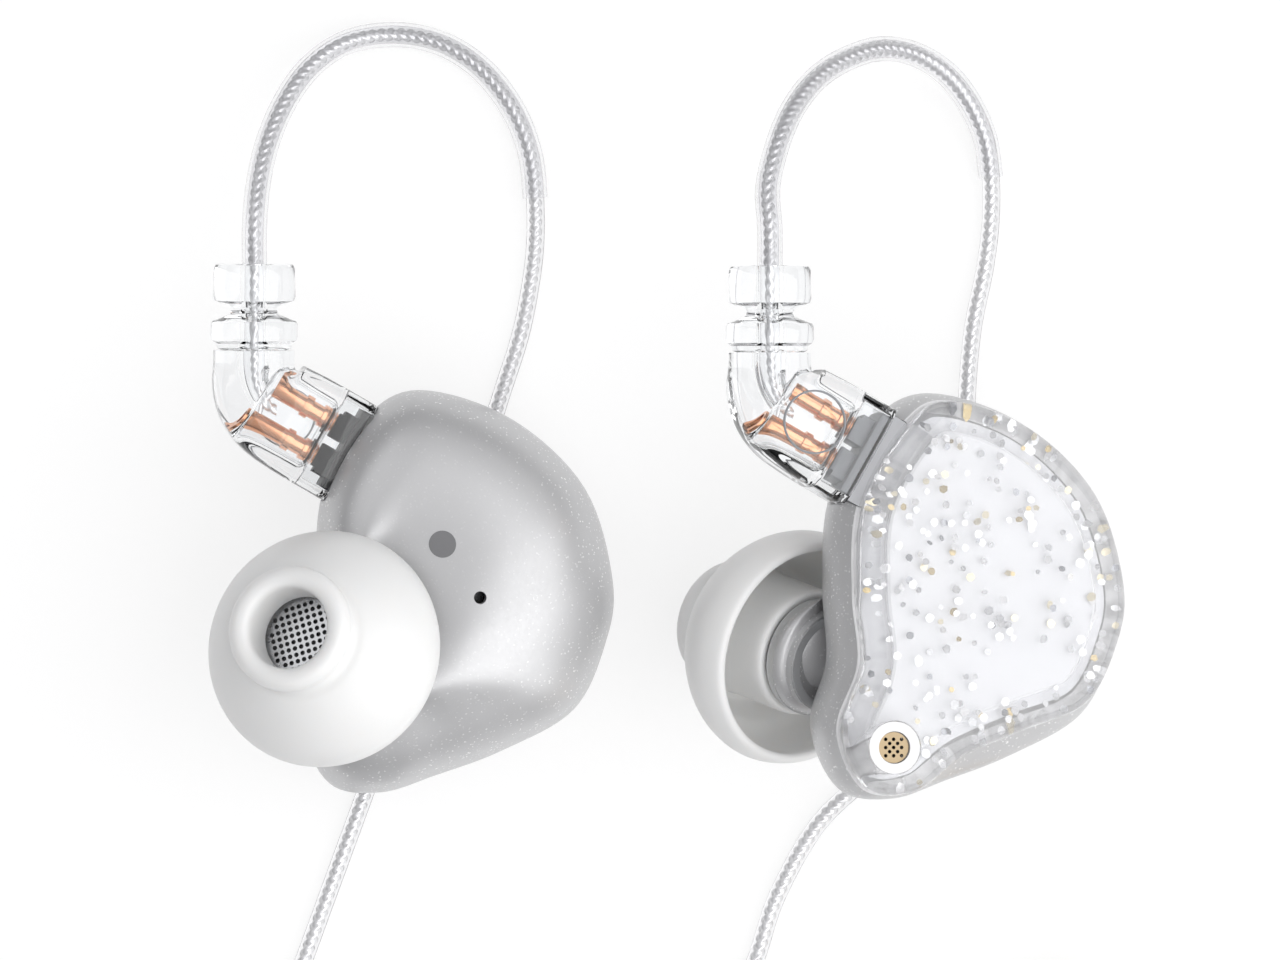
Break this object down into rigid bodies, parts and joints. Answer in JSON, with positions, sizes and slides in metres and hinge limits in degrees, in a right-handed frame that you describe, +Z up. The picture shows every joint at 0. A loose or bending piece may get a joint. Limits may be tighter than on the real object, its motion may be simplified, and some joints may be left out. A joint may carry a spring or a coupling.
{
  "type": "in-ear monitors",
  "caption": "Pair of in-ear monitors with clear faceplates, silicone ear tips and a detachable two-pin cable with ear loops, splitter and jack plug",
  "frame": {"origin": "on the table, under the middle of the box round the two monitors", "axes": "+X from the right monitor to the left one, +Y towards the ear loops, +Z up from the table"},
  "size_m": [0.0487, 0.1174, 0.0186],
  "materials": {
    "pearl_shell": "glossy pearl resin with fine glitter",
    "clear_resin": "clear cast resin with foil flakes",
    "white_backing": "white",
    "white_plastic": "glossy",
    "steel_mesh": "punched steel",
    "nozzle_metal": "satin",
    "silicone": "soft white silicone",
    "grey_plastic": "moulded",
    "black_plastic": "moulded",
    "steel": "plated",
    "magnet": "nickel plated",
    "film": "thin polymer film",
    "gold": "gold plated",
    "rose_gold": "rose gold plated copper alloy",
    "enamel_wire": "enamelled copper",
    "clear_plastic": "clear moulded plastic",
    "clear_sleeve": "clear soft sleeve",
    "cord": "silver strands in a clear jacket",
    "satin_metal": "satin anodised",
    "tie_strap": "soft strap"
  },
  "bodies": {
    "cable": {"right_plug_body": "clear_plastic", "right_plug_insert": "black_plastic", "right_plug_pins": "rose_gold", "right_cable_relief": "clear_plastic", "right_hook_sleeve": "clear_sleeve", "right_side_cord": "cord", "right_side_coil": "cord", "left_plug_body": "clear_plastic", "left_plug_insert": "grey_plastic", "left_plug_pins": "rose_gold", "left_cable_relief": "clear_plastic", "left_hook_sleeve": "clear_sleeve", "left_side_cord": "cord", "left_side_coil": "cord", "cord_tails": "cord", "splitter": "satin_metal", "main_cord": "cord", "main_coil": "cord", "coil_ties": "tie_strap", "jack_barrel": "satin_metal", "jack_relief": "clear_sleeve", "jack_sleeve": "gold", "jack_ring": "gold", "jack_tip": "gold", "jack_insulators": "black_plastic"},
    "slider": {"chin_slider": "clear_plastic"},
    "right_monitor": {"right_shell": "pearl_shell", "right_faceplate": "clear_resin", "right_inlay": "white_backing", "right_vent_ring": "white_plastic", "right_vent_mesh": "steel_mesh", "right_nozzle": "nozzle_metal", "right_nozzle_mesh": "steel_mesh", "right_driver_carrier": "grey_plastic", "right_driver_basket": "steel", "right_driver_yoke": "steel", "right_driver_magnet": "magnet", "right_driver_cover": "steel", "right_socket_block": "grey_plastic", "right_socket_contacts": "gold", "right_driver_leads": "enamel_wire"},
    "right_tip": {"right_ear_tip": "silicone"},
    "right_cone": {"right_diaphragm": "film"},
    "left_monitor": {"left_shell": "pearl_shell", "left_faceplate": "clear_resin", "left_inlay": "white_backing", "left_vent_ring": "white_plastic", "left_vent_mesh": "steel_mesh", "left_nozzle": "nozzle_metal", "left_nozzle_mesh": "steel_mesh", "left_driver_carrier": "grey_plastic", "left_driver_basket": "steel", "left_driver_yoke": "steel", "left_driver_magnet": "magnet", "left_driver_cover": "steel", "left_socket_block": "grey_plastic", "left_socket_contacts": "gold", "left_driver_leads": "enamel_wire"},
    "left_tip": {"left_ear_tip": "silicone"},
    "left_cone": {"left_diaphragm": "film"}
  },
  "joints": [
    {"name": "right_plug_pull", "type": "slide", "parent": "cable", "child": "right_monitor", "axis": [0.8583, -0.4996, -0.1171], "range_m": [0, 0.0035]},
    {"name": "left_plug_pull", "type": "slide", "parent": "cable", "child": "left_monitor", "axis": [0.8403, -0.5, -0.2095], "range_m": [0, 0.0035]},
    {"name": "right_tip_pull", "type": "slide", "parent": "right_monitor", "child": "right_tip", "axis": [-0.3173, 0.2063, 0.9256], "range_m": [0, 0.0043]},
    {"name": "left_tip_pull", "type": "slide", "parent": "left_monitor", "child": "left_tip", "axis": [-0.6193, 0.24, -0.7475], "range_m": [0, 0.0043]},
    {"name": "right_cone_travel", "type": "slide", "parent": "right_monitor", "child": "right_cone", "axis": [0.1131, -0.0384, 0.9928], "range_m": [-0.00012, 0.00012], "stiffness_N_per_m": 300},
    {"name": "left_cone_travel", "type": "slide", "parent": "left_monitor", "child": "left_cone", "axis": [-0.2419, 0, -0.9703], "range_m": [-0.00012, 0.00012], "stiffness_N_per_m": 300},
    {"name": "chin_slide", "type": "slide", "parent": "cable", "child": "slider", "axis": [0, -1, 0], "range_m": [0, 0.007]}
  ]
}
